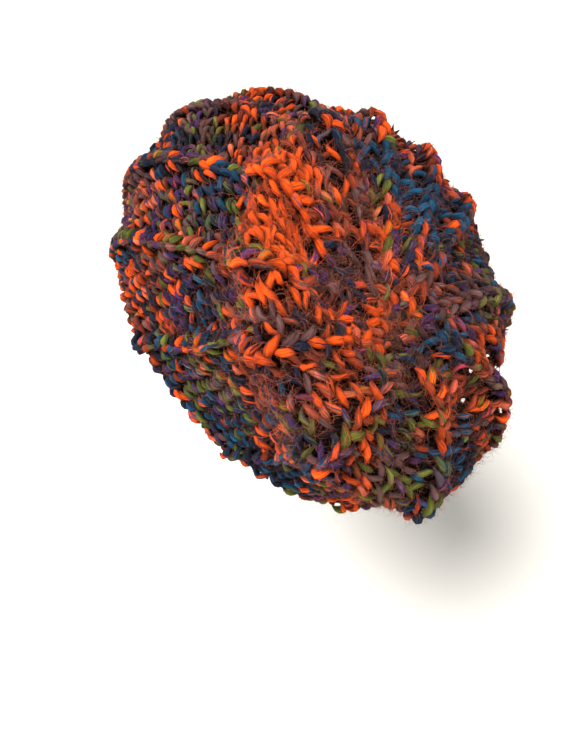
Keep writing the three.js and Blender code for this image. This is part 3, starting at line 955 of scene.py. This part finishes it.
# Corners of the lining that are one, the cutter's length and how far its middle lies inside the hat, in m
SAME_PLACE, CUTTER_LENGTH, CUTTER_DEPTH = 1e-6, 0.3, 0.12


def open_loose_stitches(lining_pieces):
    """Cuts each loose stitch through the linings that lie behind it."""
    uncut = []
    for piece in lining_pieces:
        wool = np.array([corner.color for corner in piece.data.attributes["wool"].data])
        uncut.append((corner_places(piece), wool))
        select(piece)
        bpy.ops.object.mode_set(mode="EDIT")
        bpy.ops.mesh.select_all(action="SELECT")
        bpy.ops.mesh.remove_doubles(threshold=SAME_PLACE)
        bpy.ops.mesh.normals_make_consistent(inside=False)
        bpy.ops.object.mode_set(mode="OBJECT")
    for place, radius in LOOSE_STITCHES:
        clear_selection()
        start = Vector(to_world(np.array([place], float))[0])
        line = (Vector(to_world(FACING[None])[0]) - start).normalized()
        bpy.ops.mesh.primitive_cylinder_add(
            vertices=10, radius=radius * MM, depth=CUTTER_LENGTH, location=start - line * CUTTER_DEPTH)
        cutter = bpy.context.object
        cutter.rotation_mode = "QUATERNION"
        cutter.rotation_quaternion = line.to_track_quat("Z", "Y")
        for piece in lining_pieces:
            select(piece)
            cut = piece.modifiers.new("loose_stitch", "BOOLEAN")
            cut.operation = "DIFFERENCE"
            cut.solver = "MANIFOLD"
            cut.object = cutter
            bpy.ops.object.modifier_apply(modifier=cut.name)
        mesh = cutter.data
        bpy.data.objects.remove(cutter)
        bpy.data.meshes.remove(mesh)
    # The corners of each cut take the colour of the nearest corner that was there before
    for piece, (places, colours) in zip(lining_pieces, uncut):
        now = corner_places(piece)
        nearest = np.array([((places - place) ** 2).sum(1).argmin() for place in now])
        for attribute in ("wool", "ply"):
            data = piece.data.attributes[attribute].data
            data.foreach_set("color", colours[nearest].astype(np.float32).ravel())


# The colour of the lining's outside: near black, painted shade between the stitches
GAP_PAINTED_SHADE = np.array([0.009, 0.0045, 0.0045])
INSIDE_SHADE = 0.4


def lining_colours(points):
    """Near black as painted shade where the lining shows between stitches, and the wool's own colours,
    darkened, on the inside.
    """
    inside = np.arange(len(points)) >= len(points) // 2
    wool = INSIDE_SHADE * yarn_shares(points) @ WOOL_COLOURS
    colour = np.where(inside[:, None], wool, GAP_PAINTED_SHADE)
    colour = np.concatenate([colour, np.ones((len(points), 1))], 1)
    return colour, colour


loose = fibre_material("loose_fibres")
band_shell = shell_mesh(band_surface, band_inner, 21, 0.6, False)
body_shell = shell_mesh(body_surface, body_inner, 41, 0.6, True)
band_lining = make_object(
    "band_lining", *band_shell, *lining_colours(band_shell[0]), lining, "band_knit", "brim", "upper_band")
body_lining = make_object(
    "body_lining", *body_shell, *lining_colours(body_shell[0]), lining, "body_knit", "slouch_body")

open_loose_stitches([band_lining, body_lining])

band_grains = all_panels(band_stitches)
body_grains = all_panels(body_stitches)
band_chain = ridge_stitches(band_surface, 6.0, 1.6, math.radians(26), (10.0, 3.9, 4.0), 2.2, 2.5, 0.0, 1.0)
body_chain = ridge_stitches(body_surface, 7.0, 1.8, math.radians(28), (12.0, 4.2, 4.3), 2.6, 2.7, 0.2, 0.97)
edge = brim_loops()
make_object("band_stitches", *band_grains, yarn, "band_knit")
make_object("body_stitches", *body_grains, yarn, "body_knit")
make_object("band_under_stitches", *all_panels(band_under_stitches), yarn, "band_knit")
make_object("body_under_stitches", *all_panels(body_under_stitches), yarn, "body_knit")
make_object("band_ridge_chains", *band_chain, yarn, "band_knit")
make_object("body_ridge_chains", *body_chain, yarn, "body_knit")
make_object("brim_loops", *edge, yarn, "band_knit")
band_yarn, body_yarn = join([band_grains, band_chain]), join([body_grains, body_chain])
astray = {"curl": 2.8, "stand": 0.42, "thickness": 0.095, "along": 0.0, "haze": 0.75}
with_yarn = {"curl": 0.7, "stand": 0.05, "thickness": 0.11, "along": 0.8, "haze": 0.6}
make_object("band_loose_fibres", *fibres(band_yarn, 24000, 4.8, 15, **astray), loose, "band_knit")
make_object("body_loose_fibres", *fibres(body_yarn, 24000, 5.2, 17, **astray), loose, "body_knit")
long_astray = {"curl": 2.6, "stand": 0.5, "thickness": 0.12, "along": 0.0, "haze": 0.8}
make_object("body_long_fibres", *fibres(body_yarn, 260, 14.0, 24, **long_astray), loose, "body_knit")
make_object("band_yarn_fibres", *fibres(band_yarn, 7000, 4.0, 6, **with_yarn), loose, "band_knit")
make_object("body_yarn_fibres", *fibres(body_yarn, 7000, 4.5, 7, **with_yarn), loose, "body_knit")

# Floor, light and camera
clear_selection()
bpy.ops.mesh.primitive_plane_add(size=30, location=(0, 0, -0.3))
floor = bpy.context.object
floor.name = "floor"
floor.data.materials.append(Mat("pale_floor").finish({
    "Base Color": (0.93, 0.92, 0.88, 1), "Roughness": 0.9, "Specular IOR Level": 0.1}))

world = bpy.data.worlds.new("studio")
world.use_nodes = True
world.node_tree.nodes["Background"].inputs[0].default_value = (1.0, 0.985, 0.95, 1)
world.node_tree.nodes["Background"].inputs[1].default_value = 0.42
bpy.context.scene.world = world

TARGET = Vector((0.0, 0.045, 0.055))
AZIMUTH, ELEVATION, DISTANCE = math.radians(128.83), math.radians(36.25), 0.44074


def direction(azimuth, elevation):
    return Vector((math.sin(azimuth) * math.cos(elevation), -math.cos(azimuth) * math.cos(elevation),
                   math.sin(elevation)))


def area_light(name, azimuth, elevation, distance, size, power, colour):
    data = bpy.data.lights.new(name, "AREA")
    data.shape = "DISK"
    data.size = size
    data.energy = power
    data.color = colour
    lamp = bpy.data.objects.new(name, data)
    away = direction(math.radians(azimuth), math.radians(elevation))
    lamp.location = TARGET + away * distance
    lamp.rotation_mode = "QUATERNION"
    lamp.rotation_quaternion = away.to_track_quat("Z", "Y")
    bpy.context.collection.objects.link(lamp)


area_light("key_light", 95, 62, 3.2, 1.7, 215, (1, 0.97, 0.93))
area_light("fill_light", 150, 35, 2.2, 1.6, 7, (0.97, 0.98, 1))

back = direction(AZIMUTH, ELEVATION)
right = Vector((math.cos(AZIMUTH), math.sin(AZIMUTH), 0))
up = back.cross(right)
# The hat lies off the picture's middle, so the camera is turned a little from it, by these numbers of pixels
PICTURE_WIDTH, PICTURE_HEIGHT = 570, 735
FOCAL, MIDDLE_X, MIDDLE_Y = 900.0, 348.2, 280.0
off_x, off_y = PICTURE_WIDTH / 2 - MIDDLE_X, PICTURE_HEIGHT / 2 - MIDDLE_Y
aim = (off_x / FOCAL * right - off_y / FOCAL * up - back).normalized()
turned = (-back).rotation_difference(aim)
base = Matrix((right, up, back)).transposed().to_quaternion()
camera_data = bpy.data.cameras.new("camera")
camera_data.sensor_width = 36.0
camera_data.lens = FOCAL / PICTURE_HEIGHT * 36
camera = bpy.data.objects.new("camera", camera_data)
camera.rotation_mode = "QUATERNION"
camera.location = TARGET + back * DISTANCE
camera.rotation_quaternion = turned @ base
bpy.context.collection.objects.link(camera)
bpy.context.scene.camera = camera
bpy.context.scene.view_settings.view_transform = "Standard"
